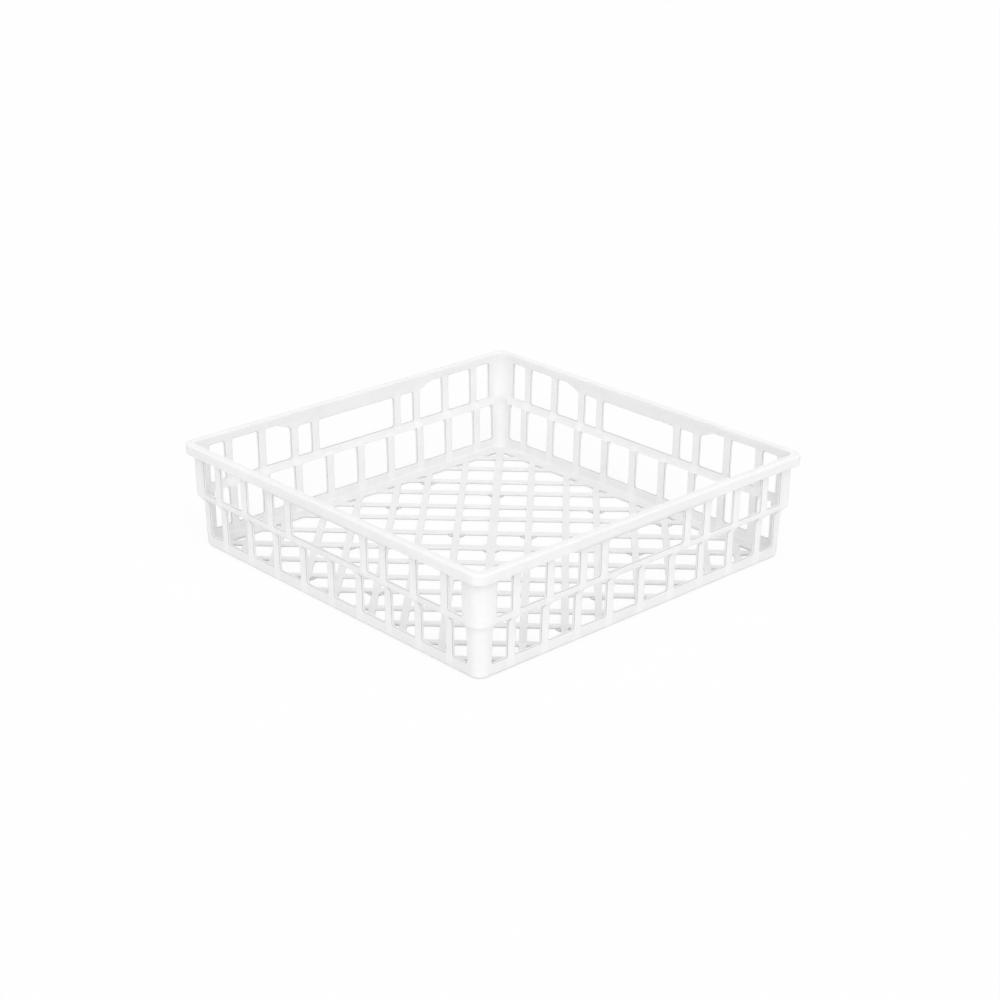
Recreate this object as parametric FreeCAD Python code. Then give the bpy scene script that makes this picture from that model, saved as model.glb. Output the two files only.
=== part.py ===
import FreeCAD, Part
import math
import os

from FreeCAD import Vector

# Tissue culture bottle tray: one open basket, moulded in a single shot.
# Origin in the middle of the underside, +Z up, sizes in millimetres.

# Overall sizes
rim_half = 190.0          # middle to the outer face of the rim
tray_height = 96.0        # underside to the top of the rim
wall_thickness = 2.2
corner_radius = 10.0      # outside corners of walls and rim, seen from above

# Rim: flat top that folds down into a lip
lip_depth = 10.0          # top of the rim to the lower edge of the lip
lip_thickness = 2.4
lip_gap = 2.4             # open groove between the lip and the wall
rim_thickness = 2.4
rim_round = 1.6
lip_round = 1.9

# Walls: a wide upper part, a sloping shelf and a narrower lower part
upper_flare = 0.9         # how much wider the upper wall is at its top than at its foot
lower_flare = 1.1
shelf_width = 4.3         # how far the lower wall stands back
shelf_foot_z = 42.4
shelf_top_z = 48.2
shelf_rise = 3.9          # the shelf's upper face lies this much higher
shelf_round = 2.5         # outer edge of the shelf
base_round = 4.0          # where the walls turn under the floor
inner_round = 2.0         # where the floor meets the walls, inside

# Windows
rib_pitch = 36.3          # middle to middle of neighbouring upright ribs
rib_width = 8.2
end_window_edge = 165.6   # middle of the wall to the far side of the end window
lower_window_foot = 12.0
lower_window_top = 46.7
upper_window_foot = 53.4
upper_window_top = 88.3
low_top_drop = 6.2        # how much lower the windows end near the handle
grip_half = 44.6          # half the width of the handle opening
slant_share = 0.57        # part of a window's width under its slanted top
grip_round = 3.0          # corners of the handle opening

# Floor lattice
floor_top = 2.6
floor_thickness = 2.2
floor_border = 11.0       # solid strip between the lattice and the walls
floor_rib = 6.2
middle_rib = 7.7          # the two ribs that cross in the middle
middle_spacing = 32.0     # middle rib to its neighbour
wide_spacing = 33.2
narrow_spacing = 27.8
smallest_cell = 20.0      # tips of cells below this area stay solid

# Underside
foot_radius = 7.8         # round pads under some crossings of the lattice
gate_radius = 8.0         # round pad where the two middle ribs cross
pad_overlap = 0.6         # how far a pad reaches into the rib above it
foot_band = 8.0           # strip along the walls that stands on the table
foot_band_draft = 1.0
foot_band_corner = 6.0

clear = 1.0               # how far a cutting shape runs past the face it cuts

# Widths that follow from the rim
upper_top_half = rim_half - lip_thickness - lip_gap
upper_foot_half = upper_top_half - upper_flare
lower_top_half = upper_foot_half - shelf_width
lower_foot_half = lower_top_half - lower_flare


def rounded_square(half, radius, z):
    """Closed outline of a square with rounded corners, at height z."""
    flat = half - radius
    bow = half - radius * (1 - math.sqrt(0.5))
    edges = []
    for turn in range(4):
        run = Part.makeLine(Vector(half, -flat, z), Vector(half, flat, z))
        arc = Part.Arc(Vector(half, flat, z), Vector(bow, bow, z), Vector(flat, half, z)).toShape()
        for edge in (run, arc):
            edge.rotate(Vector(0, 0, 0), Vector(0, 0, 1), 90 * turn)
            edges.append(edge)
    return Part.Wire(edges)


def tapered_block(levels):
    """Solid through rounded squares given as (half, radius, z) from below."""
    faces = [Part.Face(rounded_square(*levels[0])), Part.Face(rounded_square(*levels[-1]))]
    for low, high in zip(levels, levels[1:]):
        lower = rounded_square(*low).OrderedEdges
        upper = rounded_square(*high).OrderedEdges
        for below, above in zip(lower, upper):
            a, b = [v.Point for v in below.Vertexes]
            d, c = [v.Point for v in above.Vertexes]
            if type(below.Curve) is Part.Line:
                faces.append(Part.Face(Part.makePolygon([a, b, c, d, a])))
            else:
                faces.append(Part.makeRuledSurface(below, above))
    shell = Part.makeShell(faces)
    shell.sewShape()
    return Part.makeSolid(shell).removeSplitter()


def edges_at(shape, z):
    """Edges of a shape that lie flat at height z."""
    found = []
    for edge in shape.Edges:
        box = edge.BoundBox
        if abs(box.ZMin - z) < 1e-4 and abs(box.ZMax - z) < 1e-4:
            found.append(edge)
    return found


def window(outline, corner):
    """Prism through the wall at +X, from (along, height) points, its corners rounded."""
    cut_from = lower_foot_half - 2 * wall_thickness
    cut_to = upper_top_half + lip_gap / 2
    points = [Vector(cut_from, u, z) for u, z in outline]
    prism = Part.Face(Part.makePolygon(points + points[:1])).extrude(Vector(cut_to - cut_from, 0, 0))
    if corner == 0:
        return prism
    along = [edge for edge in prism.Edges if abs(edge.tangentAt(edge.FirstParameter).x) > 0.99]
    return prism.makeFillet(corner, along)


# Walls: outer body less the inner space
outer = tapered_block([
    (lower_foot_half, corner_radius, 0),
    (lower_top_half, corner_radius, shelf_foot_z),
    (upper_foot_half, corner_radius, shelf_top_z),
    (upper_top_half, corner_radius, tray_height),
])
outer = outer.makeFillet(base_round, edges_at(outer, 0))
outer = outer.makeFillet(shelf_round, edges_at(outer, shelf_top_z))
inner_radius = corner_radius - wall_thickness
inner = tapered_block([
    (lower_foot_half - wall_thickness, inner_radius, floor_top),
    (lower_top_half - wall_thickness, inner_radius, shelf_foot_z + shelf_rise),
    (upper_foot_half - wall_thickness, inner_radius, shelf_top_z + shelf_rise),
    (upper_top_half - wall_thickness, inner_radius, tray_height + clear),
])
inner = inner.makeFillet(inner_round, edges_at(inner, floor_top))

# Rim: a band round the top edge, with a groove under it behind the lip
lip_foot = tray_height - lip_depth
rim = tapered_block([
    (rim_half, corner_radius, lip_foot),
    (rim_half, corner_radius, tray_height),
])
rim = rim.makeFillet(rim_round, edges_at(rim, tray_height))
rim = rim.makeFillet(lip_round, edges_at(rim, lip_foot))
groove = tapered_block([
    (rim_half - lip_thickness, corner_radius - lip_thickness, lip_foot - clear),
    (rim_half - lip_thickness, corner_radius - lip_thickness, tray_height - rim_thickness),
])
tray = rim.cut(groove).fuse(outer).cut(inner)

# Windows of one wall, as outlines of (along, height)
half_rib = rib_width / 2
low_top = upper_window_top - low_top_drop
outlines = []


def plain(left, right, foot, top):
    """A four-sided window."""
    outlines.append([(left, foot), (right, foot), (right, top), (left, top)])


for bay in range(4):
    plain(bay * rib_pitch + half_rib, (bay + 1) * rib_pitch - half_rib, lower_window_foot, lower_window_top)
plain(4 * rib_pitch + half_rib, end_window_edge, lower_window_foot, lower_window_top)
plain(4 * rib_pitch + half_rib, end_window_edge, upper_window_foot, upper_window_top)
plain(3 * rib_pitch + half_rib, 4 * rib_pitch - half_rib, upper_window_foot, upper_window_top)
plain(grip_half + rib_width, 2 * rib_pitch - half_rib, upper_window_foot, low_top)
slant_left = 2 * rib_pitch + half_rib
slant_right = 3 * rib_pitch - half_rib
slant_end = slant_left + slant_share * (slant_right - slant_left)
outlines.append([
    (slant_left, upper_window_foot),
    (slant_right, upper_window_foot),
    (slant_right, upper_window_top),
    (slant_end, upper_window_top),
    (slant_left, low_top),
])
mirrored = [[(-u, z) for u, z in reversed(outline)] for outline in outlines]
outlines += mirrored

# The same windows on all four walls
cutters = [window(outline, 0) for outline in outlines]
grip = [
    (-grip_half, upper_window_foot),
    (grip_half, upper_window_foot),
    (grip_half, low_top),
    (-grip_half, low_top),
]
cutters.append(window(grip, grip_round))
wall_cuts = []
for turn in range(4):
    for cutter in cutters:
        turned = cutter.copy()
        turned.rotate(Vector(0, 0, 0), Vector(0, 0, 1), 90 * turn)
        wall_cuts.append(turned)
tray = tray.cut(Part.makeCompound(wall_cuts))

# Floor lattice: cells between ribs that run along the two diagonals
floor_foot = floor_top - floor_thickness
reach = lower_foot_half - wall_thickness - floor_border
ribs = [0.0, middle_spacing]
while ribs[-1] < reach * math.sqrt(2):
    ribs.append(ribs[-1] + (wide_spacing if len(ribs) % 2 == 0 else narrow_spacing))
halves = [middle_rib / 2] + [floor_rib / 2] * (len(ribs) - 1)
bands = []
for i in range(len(ribs) - 1):
    near = ribs[i] + halves[i]
    far = ribs[i + 1] - halves[i + 1]
    bands += [(near, far), (-far, -near)]
cut_height = floor_top + 2 * clear
field = Part.makeBox(2 * reach, 2 * reach, cut_height, Vector(-reach, -reach, -clear))
cells = []
for s_from, s_to in bands:
    for d_from, d_to in bands:
        cell = Part.makeBox(s_to - s_from, d_to - d_from, cut_height, Vector(s_from, d_from, -clear))
        cell.rotate(Vector(0, 0, 0), Vector(0, 0, 1), 45)
        cell = cell.common(field)
        if cell.Volume > smallest_cell * cut_height:
            cells.append(cell)


def foot(across, away):
    """Round pad under one crossing, at its distances along the two diagonals."""
    pad = Part.makeCylinder(foot_radius, floor_foot + pad_overlap, Vector(across, away, 0))
    pad.rotate(Vector(0, 0, 0), Vector(0, 0, 1), 45)
    return pad


# Round pads: one where the middle ribs cross, four in every quarter of the floor
pads = [Part.makeCylinder(gate_radius, floor_top)]
first_quarter = [
    foot(0, ribs[4]),
    foot(ribs[3], ribs[3]),
    foot(ribs[1], ribs[1]),
    foot(-ribs[2], ribs[5]),
]
for turn in range(4):
    for pad in first_quarter:
        turned = pad.copy()
        turned.rotate(Vector(0, 0, 0), Vector(0, 0, 1), 90 * turn)
        pads.append(turned)

# Underside: everything but the pads and a strip along the walls stands clear of the table
hollow_half = lower_foot_half - wall_thickness - foot_band
hollow = tapered_block([
    (hollow_half + foot_band_draft, foot_band_corner + foot_band_draft, -clear),
    (hollow_half, foot_band_corner, floor_foot),
])
tray = tray.cut(hollow)
tray = tray.cut(Part.makeCompound(cells))
tray = tray.fuse(pads)
tray = tray.removeSplitter()
os.makedirs("parts", exist_ok=True)
tray.Solids[0].exportStep("parts/tray.step")
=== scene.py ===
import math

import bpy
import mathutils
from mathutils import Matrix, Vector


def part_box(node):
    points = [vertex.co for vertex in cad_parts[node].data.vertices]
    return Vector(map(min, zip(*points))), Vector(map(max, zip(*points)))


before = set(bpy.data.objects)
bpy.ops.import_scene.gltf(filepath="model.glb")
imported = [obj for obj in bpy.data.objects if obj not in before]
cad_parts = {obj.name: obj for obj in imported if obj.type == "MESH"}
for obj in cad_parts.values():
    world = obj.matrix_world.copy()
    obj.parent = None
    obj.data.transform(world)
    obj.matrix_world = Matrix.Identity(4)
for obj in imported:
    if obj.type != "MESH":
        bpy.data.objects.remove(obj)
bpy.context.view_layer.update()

# %% [markdown]
# # A moulded basket for culture bottles
# The object is one piece of undyed polypropylene, open at the top, with windows in every wall
# and a lattice for a floor. Its shape comes from the frame as one solid. What is left to do
# here is what the eye reads as plastic: corners rounded by the mould, a satin skin that lets a
# little light in, thick places whiter than thin ones, partly as painted light, painted shade on
# the eased edges and at the foot, and quiet light on a pale floor.

millimetre = 0.001
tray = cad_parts["tray"]
highest_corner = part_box("tray")[1]
rim_half = highest_corner[0]
tray_height = highest_corner[2]
print("tray", round(2 * rim_half / millimetre, 1), "mm wide")
print("tray", round(tray_height / millimetre, 1), "mm high")


def linked(tree, kind, label="", **values):
    """Node of one kind whose sockets are set or linked by name."""
    made = tree.nodes.new(kind)
    made.label = label
    for name, value in values.items():
        place_value(tree, made.inputs[name.replace("_", " ")], value)
    return made


def place_value(tree, socket, value):
    """Link a socket to another one, or set it to a plain value."""
    if isinstance(value, bpy.types.NodeSocket):
        tree.links.new(value, socket)
    else:
        socket.default_value = value


def math_node(tree, operation, *values):
    """Result of one math step on numbers or sockets."""
    made = tree.nodes.new("ShaderNodeMath")
    made.operation = operation
    for socket, value in zip(made.inputs, values):
        place_value(tree, socket, value)
    return made.outputs[0]


# %% [markdown]
# ## Picking parts of a mesh
# The solid has every edge sharp, and a moulding has none: the cutter that made the mould is
# round, and plastic shrinks away from a knife edge. To ease some edges and round others, they
# have to be told apart. Marking them by hand would be lost with the next change of a size, so
# geometry nodes pick them by direction, place and angle, and write a bevel weight on them,
# which a bevel then follows. The solid itself stays as it is.
#
# Every picker is built from the same small tests. Each gives 1 where it holds and 0 elsewhere,
# so a product means that all hold, and the largest means that any does.

# %% Small tests for edges and faces
def marker_tree(name):
    """Geometry node tree with one mesh in and one out, as (tree, source, target)."""
    tree = bpy.data.node_groups.new(name, "GeometryNodeTree")
    tree.interface.new_socket("Mesh", in_out="INPUT", socket_type="NodeSocketGeometry")
    tree.interface.new_socket("Mesh", in_out="OUTPUT", socket_type="NodeSocketGeometry")
    return tree, tree.nodes.new("NodeGroupInput"), tree.nodes.new("NodeGroupOutput")


def absolute_parts(tree, vector):
    """The three parts of a vector without their signs."""
    absolute = tree.nodes.new("ShaderNodeVectorMath")
    absolute.operation = "ABSOLUTE"
    tree.links.new(vector, absolute.inputs[0])
    split_up = tree.nodes.new("ShaderNodeSeparateXYZ")
    tree.links.new(absolute.outputs["Vector"], split_up.inputs[0])
    return list(split_up.outputs)


def more(tree, value, limit):
    return math_node(tree, "GREATER_THAN", value, limit)


def less(tree, value, limit):
    return math_node(tree, "LESS_THAN", value, limit)


def all_of(tree, *tests):
    """1 where every test is 1."""
    result = tests[0]
    for test in tests[1:]:
        result = math_node(tree, "MULTIPLY", result, test)
    return result


def any_of(tree, *tests):
    """1 where at least one test is 1."""
    result = tests[0]
    for test in tests[1:]:
        result = math_node(tree, "MAXIMUM", result, test)
    return result


def sharper_than(tree, degrees):
    angle = tree.nodes.new("GeometryNodeInputMeshEdgeAngle")
    return more(tree, angle.outputs["Unsigned Angle"], math.radians(degrees))


def higher_than(tree, height):
    position = tree.nodes.new("GeometryNodeInputPosition")
    return more(tree, absolute_parts(tree, position.outputs["Position"])[2], height)


def on_domain(tree, value, domain):
    """A value read on the faces or the edges, as the mean of what lies round them."""
    moved = tree.nodes.new("GeometryNodeFieldOnDomain")
    moved.domain = domain
    moved.data_type = "FLOAT"
    tree.links.new(value, moved.inputs[0])
    return moved.outputs[0]


def half_of(tree, face_value):
    """1 on edges between a face with the value 1 and a face with the value 0."""
    mean = on_domain(tree, on_domain(tree, face_value, "FACE"), "EDGE")
    return all_of(tree, more(tree, mean, 0.25), less(tree, mean, 0.75))


def write_weight(tree, source, target, weight):
    """Store a bevel weight on the edges and pass the mesh on."""
    store = tree.nodes.new("GeometryNodeStoreNamedAttribute")
    store.data_type = "FLOAT"
    store.domain = "EDGE"
    store.inputs["Name"].default_value = "bevel_weight_edge"
    tree.links.new(source.outputs["Mesh"], store.inputs["Geometry"])
    tree.links.new(weight, store.inputs["Value"])
    tree.links.new(store.outputs["Geometry"], target.inputs["Mesh"])


# %% [markdown]
# ## Faces of the cut and faces of the skin
# The pins of the mould cut the faces inside windows and cells. All the rest is the skin of
# walls and floor. A cut face in a wall looks along the wall, one in the floor looks sideways.
# Cut faces stay whole, because a bevel that crosses a diagonal slides along it. The skin is
# split into triangles, because a wide face full of holes has no clear way to be filled.

# %% Tell cut faces from the skin, and split the skin
wall_inside = rim_half - 20 * millimetre    # everything further out belongs to a wall
lip_inside = rim_half - 3.5 * millimetre    # and everything beyond this to the lip of the rim
rim_underside = tray_height - 5 * millimetre
floor_level = 3.2 * millimetre              # everything lower belongs to the floor
cell_end = wall_inside - 2 * millimetre     # no cell of the floor reaches further out
pad_side = 0.8 * millimetre                 # the sides of the pads under the floor lie lower
along_face = 0.05                           # part of a normal that counts as nothing


def cut_test(tree):
    """1 on the faces inside windows, handle openings and cells."""
    normal = tree.nodes.new("GeometryNodeInputNormal")
    position = tree.nodes.new("GeometryNodeInputPosition")
    facing = absolute_parts(tree, normal.outputs["True Normal"])
    place = absolute_parts(tree, position.outputs["Position"])
    cut_faces = [
        all_of(tree, less(tree, facing[out], along_face), more(tree, place[out], wall_inside),
               less(tree, place[out], lip_inside), less(tree, place[side], wall_inside),
               more(tree, place[2], floor_level), less(tree, place[2], rim_underside))
        for out, side in ((0, 1), (1, 0))]
    cut_faces.append(all_of(
        tree, less(tree, facing[2], along_face), more(tree, place[2], pad_side),
        less(tree, place[2], floor_level), less(tree, place[0], cell_end), less(tree, place[1], cell_end)))
    return any_of(tree, *cut_faces)


def skin_splitter():
    """Splits every face but the cut ones into triangles."""
    tree, source, target = marker_tree("split the skin")
    split = tree.nodes.new("GeometryNodeTriangulate")
    tree.links.new(source.outputs["Mesh"], split.inputs["Mesh"])
    tree.links.new(less(tree, cut_test(tree), 0.5), split.inputs["Selection"])
    tree.links.new(split.outputs["Mesh"], target.inputs["Mesh"])
    return tree


# %% [markdown]
# ## Eased edges
# The rims of the openings are not knife sharp: the plastic has an edge of a third of a
# millimetre there. This thin line draws every window of the basket, so it is cut into the
# mesh and gets a material slot of its own, whose grey is painted shade. The edges of openings
# are those with a cut face on one side only, which a mean over the two faces of each edge
# tells: it is a half there. The rim of the basket, which hands hold, is a little rounder.

# %% Pick the edges round the openings and along the rim
opening_edge = 0.38 * millimetre            # width of the eased edge of an opening
bevel_steps = 2                             # flat steps across it
pad_foot = 0.2 * millimetre                 # the feet of the pads, lower still, stay as they are
lip_foot = tray_height - 12 * millimetre    # everything higher belongs to the rim
sharp_opening = 40                          # degrees that an edge has to turn to be picked
sharp_rim = 50


def opening_picker():
    """Weights the edges between a cut face and the wall or floor that it cuts."""
    tree, source, target = marker_tree("pick opening edges")
    picked = all_of(tree, half_of(tree, cut_test(tree)), sharper_than(tree, sharp_opening),
                    higher_than(tree, pad_foot))
    write_weight(tree, source, target, picked)
    return tree


def rim_picker():
    """Weights the sharp edges of the rim and its lip."""
    tree, source, target = marker_tree("pick rim edges")
    picked = all_of(tree, sharper_than(tree, sharp_rim), higher_than(tree, lip_foot))
    write_weight(tree, source, target, picked)
    return tree


# %% [markdown]
# ## Corners that the cutter rounded
# The pins of a mould are milled, so no window of a moulded basket has a sharp corner: each is
# rounded by about two millimetres. The rounding needs the short edges that run through the
# wall or the floor at a corner, and only those. It comes after the easing, and so the picker
# also takes the two short steps in which each of these edges now goes on across the eased
# edge. Rounded first, the many points of a corner would be pushed over each other by the
# easing, which leaves dark hairlines.

# %% Pick the short edges at the corners of windows and cells
straight = 0.995                            # cosine of a direction that counts as square to a wall
sharp_corner = 35                           # degrees that the corner of an opening turns at least,
sharp_cell = 70                             # and the corner of a cell in the floor
shelf_slope = (44 * millimetre, 50 * millimetre)
shortest_corner = 0.8 * millimetre
longest_corner = 7 * millimetre
longest_step = 1.6 * opening_edge           # no step across an eased edge is longer


def corner_picker():
    """Weights the edges that run through the wall or the floor at an opening's corner."""
    tree, source, target = marker_tree("pick opening corners")
    ends = tree.nodes.new("GeometryNodeInputMeshEdgeVertices")
    run = tree.nodes.new("ShaderNodeVectorMath")
    run.operation = "SUBTRACT"
    tree.links.new(ends.outputs["Position 2"], run.inputs[0])
    tree.links.new(ends.outputs["Position 1"], run.inputs[1])
    length = tree.nodes.new("ShaderNodeVectorMath")
    length.operation = "LENGTH"
    tree.links.new(run.outputs["Vector"], length.inputs[0])
    unit = tree.nodes.new("ShaderNodeVectorMath")
    unit.operation = "NORMALIZE"
    tree.links.new(run.outputs["Vector"], unit.inputs[0])
    direction = absolute_parts(tree, unit.outputs["Vector"])
    place = absolute_parts(tree, ends.outputs["Position 1"])
    through_wall = [
        all_of(tree, more(tree, direction[out], straight), more(tree, place[out], wall_inside),
               less(tree, place[side], wall_inside))
        for out, side in ((0, 1), (1, 0))]
    # where a pad meets a rib the turn is blunter than a cell's corner, and it isn't rounded
    through_floor = all_of(tree, more(tree, direction[2], straight), less(tree, place[2], floor_level),
                           sharper_than(tree, sharp_cell))
    long_enough = more(tree, length.outputs["Value"], shortest_corner)
    short_enough = less(tree, length.outputs["Value"], longest_corner)
    # the windows under the shelf end at its slope, and keep sharp upper corners
    clear_of_shelf = any_of(tree, less(tree, place[2], shelf_slope[0]), more(tree, place[2], shelf_slope[1]))
    through = all_of(tree, any_of(tree, *through_wall, through_floor), long_enough, short_enough,
                     sharper_than(tree, sharp_corner), clear_of_shelf)
    # across the eased edge the corner goes on in two short steps, out to the skin
    slot = tree.nodes.new("GeometryNodeInputMaterialIndex")
    slot_of_faces = on_domain(tree, slot.outputs["Material Index"], "FACE")
    eased = more(tree, on_domain(tree, slot_of_faces, "EDGE"), 0.75)
    step = all_of(tree, eased, less(tree, length.outputs["Value"], longest_step))
    marked = through
    for _ in range(bevel_steps):
        at_ends = on_domain(tree, on_domain(tree, marked, "EDGE"), "POINT")
        near = more(tree, on_domain(tree, at_ends, "EDGE"), 0.01)
        marked = any_of(tree, through, all_of(tree, step, near))
    write_weight(tree, source, target, marked)
    return tree


# %% [markdown]
# ## Slots and creases
# Rounding gives a few small caps in the skin the slot of the eased edge beside them. They are
# told by lying flat in a wall or in the floor, and go back to the skin. Shading stays apart
# at edges that are still sharp, and along both sides of the eased edges, which keeps these as
# clear lines and the walls beside them evenly lit.

# %% Mend slots and keep creases
flat_in_skin = 0.985                        # part of a normal that counts as square to the skin


def slot_mender():
    """Gives faces that lie flat in a wall or in the floor back to the skin."""
    tree, source, target = marker_tree("mend slots")
    normal = tree.nodes.new("GeometryNodeInputNormal")
    facing = absolute_parts(tree, normal.outputs["True Normal"])
    in_plane = any_of(tree, *(more(tree, part, flat_in_skin) for part in facing))
    mend = tree.nodes.new("GeometryNodeSetMaterialIndex")
    tree.links.new(source.outputs["Mesh"], mend.inputs["Geometry"])
    tree.links.new(in_plane, mend.inputs["Selection"])
    mend.inputs["Material Index"].default_value = 0
    tree.links.new(mend.outputs["Geometry"], target.inputs["Mesh"])
    return tree


def crease_keeper():
    """Keeps the shading apart at sharp edges and along the eased edges of openings."""
    tree, source, target = marker_tree("keep creases")
    slot = tree.nodes.new("GeometryNodeInputMaterialIndex")
    beside_eased = half_of(tree, slot.outputs["Material Index"])
    shade = tree.nodes.new("GeometryNodeSetShadeSmooth")
    shade.domain = "EDGE"
    tree.links.new(source.outputs["Mesh"], shade.inputs["Geometry"])
    creases = any_of(tree, sharper_than(tree, sharp_rim), beside_eased)
    tree.links.new(creases, shade.inputs["Selection"])
    shade.inputs["Shade Smooth"].default_value = False
    tree.links.new(shade.outputs["Geometry"], target.inputs["Mesh"])
    return tree


# %% [markdown]
# ## The order of the steps
# The order matters: join the loose triangles, clear the flat faces of needless edges and split
# the skin cleanly again, ease the edges of the openings, round their corners, and last ease
# the rim.

# %% Round corners and edges of the tray
opening_slot = 1                            # slot 0 is the skin
corner_radius = 1.9 * millimetre
rim_edge = 0.5 * millimetre


def bevel(name, width, segments):
    """Bevel that follows the weights written just before it."""
    made = tray.modifiers.new(name, "BEVEL")
    made.limit_method = "WEIGHT"
    made.width = width
    made.segments = segments
    made.use_clamp_overlap = False
    return made


def mark(name, tree):
    tray.modifiers.new(name, "NODES").node_group = tree


weld = tray.modifiers.new("join loose triangles", "WELD")
weld.merge_threshold = 0.001 * millimetre
clear = tray.modifiers.new("clear flat faces", "DECIMATE")
clear.decimate_type = "DISSOLVE"
clear.angle_limit = math.radians(0.5)
mark("split the skin", skin_splitter())
mark("pick opening edges", opening_picker())
bevel("ease opening edges", opening_edge, segments=bevel_steps).material = opening_slot
mark("pick opening corners", corner_picker())
bevel("round opening corners", corner_radius, segments=3)
mark("mend slots", slot_mender())
mark("pick rim edges", rim_picker())
bevel("ease rim edges", rim_edge, segments=2)
mark("keep creases", crease_keeper())
for face in tray.data.polygons:
    face.use_smooth = True
tray.modifiers.new("even shading", "WEIGHTED_NORMAL").keep_sharp = True
print("modifiers on the tray", [step.name for step in tray.modifiers])

# %% [markdown]
# ## Surface effects
# A few quiet effects make the plastic. They are node groups, so that the skin and the eased
# edges use the same ones and agree where they meet.
#
# *Thick places, painted light and painted foot shade.* Undyed polypropylene is a cloudy
# material: where it is thick it is whiter, where it is thin the dark behind it shows through.
# The ribs run as thick bars from the floor to the rim, over the plain bands between the
# windows, the rolled rim is double, and the corner posts are thickest. The whiter tone on the
# ribs and the corner posts stands partly for this thickness and is partly a painted highlight.
# At the foot, where the basket meets the bench, a grey line is painted shade.

# %% Group for thick places, painted light and painted foot shade
rib_pitch = 36.3 * millimetre
rib_half = 4.1 * millimetre
rib_side = (rib_half * 0.7, rib_half * 1.25)    # a rib fades out between these distances
post_start = 166 * millimetre               # where the corner posts begin, from the middle of a wall
post_end = 178 * millimetre                 # and where they are thickest
wall_root = (174 * millimetre, 177 * millimetre)    # floor before it, wall after it
handle_post = 48.7 * millimetre             # ribs at the sides of the handle opening
upper_wall = 50 * millimetre
rim_root = (84 * millimetre, 87 * millimetre)       # the wall turns into the rolled rim here
shaded_foot_height = (0.7 * millimetre, 1.6 * millimetre)     # the foot of the lattice gets painted shade up to here
wall_foot = 170 * millimetre                # beyond this it is the foot of a wall,
wall_foot_rise = 1.6                        # painted shade at a wall's foot reaches this many times higher
upright = 0.7                               # upward part of a normal that an upright face stays under


def new_group(name, inputs, outputs):
    """Empty shader node group with its sockets, as (tree, source, target)."""
    tree = bpy.data.node_groups.new(name, "ShaderNodeTree")
    for label, kind, value in inputs:
        socket = tree.interface.new_socket(label, in_out="INPUT", socket_type=kind)
        if value is not None:
            socket.default_value = value
    for label, kind in outputs:
        tree.interface.new_socket(label, in_out="OUTPUT", socket_type=kind)
    return tree, tree.nodes.new("NodeGroupInput"), tree.nodes.new("NodeGroupOutput")


def soft_step(tree, value, start, end):
    """0 before start, 1 after end, smooth between them."""
    step = tree.nodes.new("ShaderNodeMapRange")
    step.interpolation_type = "SMOOTHSTEP"
    place_value(tree, step.inputs["Value"], value)
    place_value(tree, step.inputs["From Min"], start)
    place_value(tree, step.inputs["From Max"], end)
    return step.outputs["Result"]


def choose(tree, factor, a, b):
    """a where the factor is 0, b where it is 1."""
    step = tree.nodes.new("ShaderNodeMix")
    for name, value in (("Factor", factor), ("A", a), ("B", b)):
        place_value(tree, step.inputs[name], value)
    return step.outputs["Result"]


def thick_light_and_foot_shade_group():
    """Masks of thick plastic with a painted highlight, of the corner posts, and of painted shade at the
    foot.
    """
    tree, source, target = new_group(
        "thick places, painted light and foot shade",
        [("Position", "NodeSocketVector", None), ("Normal", "NodeSocketVector", None)],
        [("Thick And Painted Light", "NodeSocketFloat"), ("Post", "NodeSocketFloat"), ("Foot Shade", "NodeSocketFloat")])
    x, y, z = absolute_parts(tree, source.outputs["Position"])
    # distance along the wall from its middle, the same for all four walls
    along = math_node(tree, "MINIMUM", x, y)
    outward = math_node(tree, "MAXIMUM", x, y)
    on_wall = soft_step(tree, outward, *wall_root)
    # distance to the nearest rib of the even pitch
    to_rib = math_node(tree, "PINGPONG", along, rib_pitch / 2)
    even = math_node(tree, "SUBTRACT", 1.0, soft_step(tree, to_rib, *rib_side))
    # the handle interrupts the pitch of the upper wall
    upper = math_node(tree, "GREATER_THAN", z, upper_wall)
    near_handle = math_node(tree, "LESS_THAN", along, handle_post + 2 * rib_half)
    to_post = math_node(tree, "ABSOLUTE", math_node(tree, "SUBTRACT", along, handle_post))
    handle = math_node(tree, "SUBTRACT", 1.0, soft_step(tree, to_post, *rib_side))
    swap = math_node(tree, "MULTIPLY", upper, near_handle)
    ribs = choose(tree, swap, even, handle)
    post = soft_step(tree, along, post_start, post_end)
    # the rolled rim is double all the way round
    # thick plastic is whiter; on ribs and corner posts this whiter tone is also a painted highlight
    thick_and_painted_light = any_of(tree, all_of(tree, ribs, on_wall), post, soft_step(tree, z, *rim_root))
    # upright faces at the foot get painted shade, where the basket meets the bench
    upward = absolute_parts(tree, source.outputs["Normal"])[2]
    rise = choose(tree, more(tree, outward, wall_foot), 1.0, 1 / wall_foot_rise)
    above_foot = soft_step(tree, math_node(tree, "MULTIPLY", z, rise), *shaded_foot_height)
    foot = all_of(tree, less(tree, upward, upright), math_node(tree, "SUBTRACT", 1.0, above_foot))
    tree.links.new(thick_and_painted_light, target.inputs["Thick And Painted Light"])
    tree.links.new(post, target.inputs["Post"])
    tree.links.new(foot, target.inputs["Foot Shade"])
    return tree


thick_light_and_foot_shade = thick_light_and_foot_shade_group()
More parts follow.
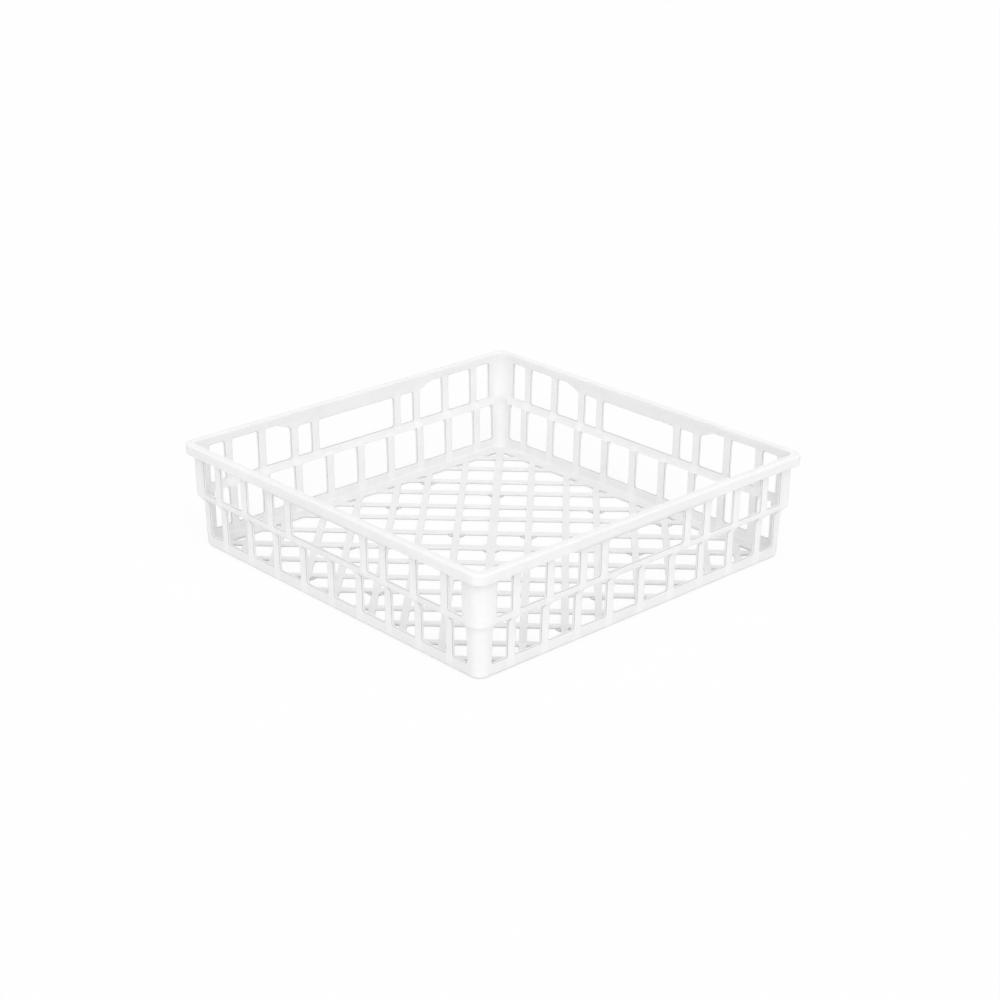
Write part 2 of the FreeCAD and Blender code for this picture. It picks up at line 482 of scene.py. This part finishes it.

# %% [markdown]
# *Shade painted on eased edges.* The eased edge of an opening is a fine grey line of painted
# shade on the walls. On top of the lattice it is painted pale, as if the light fell straight on
# it, and at the foot of the lattice it is painted darkest. One group gives the three tones by place.

# %% Group for the painted shade of eased edges
def painted_edge_shade_group():
    """Painted shade of an eased edge: pale on top of the lattice, dark at its foot, between on the walls."""
    tree, source, target = new_group(
        "painted shade of eased edges",
        [("Position", "NodeSocketVector", None), ("Wall", "NodeSocketFloat", 0.6),
         ("Lattice Top", "NodeSocketFloat", 0.8), ("Lattice Foot", "NodeSocketFloat", 0.5)],
        [("Tone", "NodeSocketFloat")])
    x, y, z = absolute_parts(tree, source.outputs["Position"])
    outward = math_node(tree, "MAXIMUM", x, y)
    in_floor = all_of(tree, less(tree, z, floor_level), less(tree, outward, wall_inside))
    top = more(tree, z, 0.5 * floor_level)
    lattice = choose(tree, top, source.outputs["Lattice Foot"], source.outputs["Lattice Top"])
    tree.links.new(choose(tree, in_floor, source.outputs["Wall"], lattice), target.inputs["Tone"])
    return tree


painted_edge_shade = painted_edge_shade_group()

# %% [markdown]
# *Cloud.* The melt cools unevenly, so the white has soft clouds a few centimetres wide, with a
# finer mottle in them. They are only a few hundredths lighter or darker, but without them a
# wall looks like a drawing.

# %% Group for the clouds in the plastic
wide_share = 0.6                            # of the wide clouds, the fine mottle has the rest
swing_per_depth = 4.0                       # noise keeps near its middle, so it is spread


def cloud_group():
    """Factor round 1 that varies in wide clouds and a fine mottle."""
    tree, source, target = new_group(
        "clouds in the plastic",
        [("Position", "NodeSocketVector", None), ("Depth", "NodeSocketFloat", 0.04)],
        [("Factor", "NodeSocketFloat")])
    wide = linked(tree, "ShaderNodeTexNoise", Vector=source.outputs["Position"], Scale=28.0, Detail=2.0)
    fine = linked(tree, "ShaderNodeTexNoise", Vector=source.outputs["Position"], Scale=330.0, Detail=2.0)
    both = math_node(tree, "ADD", math_node(tree, "MULTIPLY", wide.outputs["Fac"], wide_share),
                     math_node(tree, "MULTIPLY", fine.outputs["Fac"], 1 - wide_share))
    centred = math_node(tree, "SUBTRACT", both, 0.5)
    spread = math_node(tree, "MULTIPLY", source.outputs["Depth"], swing_per_depth)
    swing = math_node(tree, "MULTIPLY", centred, spread)
    tree.links.new(math_node(tree, "ADD", swing, 1.0), target.inputs["Factor"])
    return tree


clouds = cloud_group()

# %% [markdown]
# *Flow.* Plastic enters at the round pad in the middle of the floor and runs outwards along the
# ribs. Where it slowed down it leaves faint rings round that gate, seen only as a small change
# of gloss.
#
# *Grain.* Spark erosion gives the mould a fine satin texture. It breaks up reflections without
# being visible as bumps.

# %% Groups for flow marks and satin grain
grain_gain = 30.0                           # height of the grain, in steps of the bump's distance


def flow_group():
    """Faint rings round the gate, as a value from 0 to 1."""
    tree, source, target = new_group(
        "flow marks", [("Position", "NodeSocketVector", None)], [("Rings", "NodeSocketFloat")])
    rings = linked(tree, "ShaderNodeTexWave", Vector=source.outputs["Position"], Scale=9.0, Distortion=5.0,
                   Detail=2.0)
    rings.wave_type = "RINGS"
    rings.rings_direction = "Z"
    tree.links.new(rings.outputs["Fac"], target.inputs["Rings"])
    return tree


def grain_group():
    """Normal of the fine satin texture."""
    tree, source, target = new_group(
        "satin grain",
        [("Position", "NodeSocketVector", None), ("Height", "NodeSocketFloat", 0.03)],
        [("Normal", "NodeSocketVector")])
    fine = linked(tree, "ShaderNodeTexNoise", Vector=source.outputs["Position"], Scale=1600.0, Detail=3.0)
    bump = linked(tree, "ShaderNodeBump", Strength=0.35, Distance=0.0002)
    height = math_node(tree, "MULTIPLY", fine.outputs["Fac"], source.outputs["Height"])
    tree.links.new(math_node(tree, "MULTIPLY", height, grain_gain), bump.inputs["Height"])
    tree.links.new(bump.outputs["Normal"], target.inputs["Normal"])
    return tree


flow_marks = flow_group()
satin_grain = grain_group()

# %% [markdown]
# ## Natural polypropylene
# The skin is a near white with a little light passing into it. Thick places take the whiter
# tone and bands the greyer one, partly as painted light, and the clouds and flow marks play on
# both. The skin and the eased edges are one plastic, so one function makes both materials: only
# the tone by place, which on the eased edges is painted shade, the gloss and the strength of
# the effects differ.

# %% Material of the skin
def new_material(name):
    """Material with an output, one Principled shader and the object's coordinates."""
    made = bpy.data.materials.new(name)
    made.use_nodes = True
    tree = made.node_tree
    tree.nodes.clear()
    output = tree.nodes.new("ShaderNodeOutputMaterial")
    shader = tree.nodes.new("ShaderNodeBsdfPrincipled")
    tree.links.new(shader.outputs["BSDF"], output.inputs["Surface"])
    place = tree.nodes.new("ShaderNodeTexCoord")
    return made, tree, shader, place.outputs


def use_group(tree, group, **values):
    """One use of a shader node group with its own values."""
    made = linked(tree, "ShaderNodeGroup", label=group.name)
    made.node_tree = group
    for name, value in values.items():
        place_value(tree, made.inputs[name.replace("_", " ")], value)
    return made


gloss_swing = 0.06                          # change of roughness over the flow marks
band_tone = 0.865
# ribs and corner posts are whiter partly as a painted highlight
rib_tone = 0.90
post_tone = 0.91
# grey of the painted shade at the foot
foot_shade_tone = 0.62


def skin_colour(tree, place):
    """Greyer on the thin bands, whiter on ribs, whitest in the corner posts, partly as a painted highlight,
    with painted shade at the foot.
    """
    mask = use_group(tree, thick_light_and_foot_shade, Position=place["Object"], Normal=place["Normal"])
    ribs = choose(tree, mask.outputs["Thick And Painted Light"], band_tone, rib_tone)
    posts = choose(tree, mask.outputs["Post"], ribs, post_tone)
    # painted shade at the foot
    return choose(tree, mask.outputs["Foot Shade"], posts, foot_shade_tone)


def polypropylene(name, colour_at, roughness, cloud_depth, grain_height):
    """Undyed polypropylene, with its grey given by a function of the place."""
    made, tree, shader, place = new_material(name)
    position = place["Object"]
    cloud = use_group(tree, clouds, Position=position, Depth=cloud_depth)
    flow = use_group(tree, flow_marks, Position=position)
    grain = use_group(tree, satin_grain, Position=position, Height=grain_height)
    grey = math_node(tree, "MULTIPLY", colour_at(tree, place), cloud.outputs["Factor"])
    tree.links.new(grey, shader.inputs["Base Color"])
    gloss = math_node(tree, "MULTIPLY_ADD", flow.outputs["Rings"], gloss_swing, roughness - gloss_swing / 2)
    tree.links.new(gloss, shader.inputs["Roughness"])
    tree.links.new(grain.outputs["Normal"], shader.inputs["Normal"])
    shader.inputs["IOR"].default_value = 1.49
    shader.inputs["Specular IOR Level"].default_value = 0.4
    return made, shader


skin, skin_shader = polypropylene(
    "natural polypropylene", skin_colour, roughness=0.45, cloud_depth=0.04, grain_height=0.03)
skin_shader.inputs["Subsurface Weight"].default_value = 0.6
skin_shader.inputs["Subsurface Radius"].default_value = (1.0, 1.0, 1.0)
skin_shader.inputs["Subsurface Scale"].default_value = 3.0 * millimetre

# %% [markdown]
# At the eased edges the plastic is thinnest. Their grey is painted shade, so they show as fine
# grey lines round every window. They are also where hands and trolleys polish it.

# %% Material of the eased edges
def painted_edge_colour(tree, place):
    """Painted shade: grey on the walls, pale on top of the lattice, dark at its foot."""
    tone = use_group(tree, painted_edge_shade, Position=place["Object"], Wall=0.56, Lattice_Top=0.80,
                     Lattice_Foot=0.50)
    return tone.outputs["Tone"]


edges, _ = polypropylene(
    "eased edges", painted_edge_colour, roughness=0.36, cloud_depth=0.06, grain_height=0.015)
tray.data.materials.clear()
for finish in (skin, edges):
    tray.data.materials.append(finish)

evaluated = tray.evaluated_get(bpy.context.evaluated_depsgraph_get())
dressed = evaluated.to_mesh()
print("triangles after easing", sum(len(face.vertices) - 2 for face in dressed.polygons))
evaluated.to_mesh_clear()

# %% [markdown]
# ## A pale floor
# White on white only works when the floor is a little brighter than the object and still takes
# its shadow. Seen by the camera, or mirrored, the floor is mostly plain white paper. For every
# other ray it is an ordinary matt sheet that throws light back at the basket.

# %% Floor
half_floor = 6.0
seen_white = 0.87                           # share of plain white in what the camera sees


def seen_directly(tree):
    """1 for rays that show the background itself, 0 for rays that light the object."""
    path = tree.nodes.new("ShaderNodeLightPath")
    kinds = ("Is Camera Ray", "Is Glossy Ray", "Is Transmission Ray")
    return any_of(tree, *(path.outputs[kind] for kind in kinds))


floor_mesh = bpy.data.meshes.new("studio floor")
floor_corners = [(-1, -1), (1, -1), (1, 1), (-1, 1)]
floor_mesh.from_pydata([(x * half_floor, y * half_floor, 0) for x, y in floor_corners], [], [(0, 1, 2, 3)])
floor = bpy.data.objects.new("studio_floor", floor_mesh)
bpy.context.scene.collection.objects.link(floor)
paper = bpy.data.materials.new("white paper")
paper.use_nodes = True
paper_tree = paper.node_tree
paper_tree.nodes.clear()
matt = linked(paper_tree, "ShaderNodeBsdfDiffuse", Color=(0.95, 0.95, 0.95, 1))
plain_white = linked(paper_tree, "ShaderNodeEmission", Color=(1, 1, 1, 1), Strength=1.0)
share = math_node(paper_tree, "MULTIPLY", seen_directly(paper_tree), seen_white)
mixed = paper_tree.nodes.new("ShaderNodeMixShader")
paper_tree.links.new(share, mixed.inputs[0])
paper_tree.links.new(matt.outputs[0], mixed.inputs[1])
paper_tree.links.new(plain_white.outputs[0], mixed.inputs[2])
sheet = paper_tree.nodes.new("ShaderNodeOutputMaterial")
paper_tree.links.new(mixed.outputs[0], sheet.inputs["Surface"])
floor.data.materials.append(paper)

# %% [markdown]
# ## Light
# The light is a white tent, with one wide lamp behind the camera and one above. Both come from
# a wide angle, so no shadow has an edge. The lamp behind the camera makes the corner that faces
# it the brightest place, and leaves the two near walls a shade darker, the left one most.

# %% World and lamps
tent_strength = 0.70
world = bpy.data.worlds.new("studio")
bpy.context.scene.world = world
world.use_nodes = True
world_tree = world.node_tree
world_tree.nodes.clear()
tent = linked(world_tree, "ShaderNodeBackground", Color=(1, 1, 1, 1), Strength=tent_strength)
bright = linked(world_tree, "ShaderNodeBackground", Color=(1, 1, 1, 1), Strength=1.0)
choice = world_tree.nodes.new("ShaderNodeMixShader")
world_tree.links.new(seen_directly(world_tree), choice.inputs[0])
world_tree.links.new(tent.outputs[0], choice.inputs[1])
world_tree.links.new(bright.outputs[0], choice.inputs[2])
world_out = world_tree.nodes.new("ShaderNodeOutputWorld")
world_tree.links.new(choice.outputs[0], world_out.inputs["Surface"])


def wide_lamp(name, share_of_light, azimuth_deg, elevation_deg, spread_deg):
    """Distant lamp whose full light on a facing surface is a share of plain white."""
    data = bpy.data.lights.new(name, "SUN")
    data.energy = share_of_light * math.pi
    data.angle = math.radians(spread_deg)
    lamp = bpy.data.objects.new(name, data)
    bpy.context.scene.collection.objects.link(lamp)
    flat = math.cos(math.radians(elevation_deg))
    toward = mathutils.Vector((math.sin(math.radians(azimuth_deg)) * flat,
                               -math.cos(math.radians(azimuth_deg)) * flat,
                               math.sin(math.radians(elevation_deg))))
    lamp.rotation_euler = toward.to_track_quat("Z", "Y").to_euler()
    lamp.location = toward * 2
    return lamp


wide_lamp("lamp behind the camera", 0.29, azimuth_deg=54, elevation_deg=38, spread_deg=50)
wide_lamp("lamp above", 0.12, azimuth_deg=0, elevation_deg=88, spread_deg=60)

# %% [markdown]
# ## Camera
# The camera looks at the near corner from about 22 degrees above the bench, through a long
# lens, as for a catalogue picture.

# %% Camera
azimuth = math.radians(46.76)
elevation = math.radians(22.54)
roll = math.radians(0.43)
camera_place = mathutils.Vector((1.2388, -1.1548, 0.7501))
camera_data = bpy.data.cameras.new("camera")
camera_data.lens = 75.98
camera_data.sensor_width = 36.0
camera = bpy.data.objects.new("camera", camera_data)
bpy.context.scene.collection.objects.link(camera)
back = mathutils.Vector((math.sin(azimuth) * math.cos(elevation), -math.cos(azimuth) * math.cos(elevation),
                         math.sin(elevation)))
level = mathutils.Vector((math.cos(azimuth), math.sin(azimuth), 0))
right = mathutils.Matrix.Rotation(roll, 3, back) @ level
up = back.cross(right)
turn = mathutils.Matrix((right, up, back)).transposed().to_4x4()
camera.matrix_world = mathutils.Matrix.Translation(camera_place) @ turn
bpy.context.scene.camera = camera
bpy.context.scene.view_settings.view_transform = "Standard"
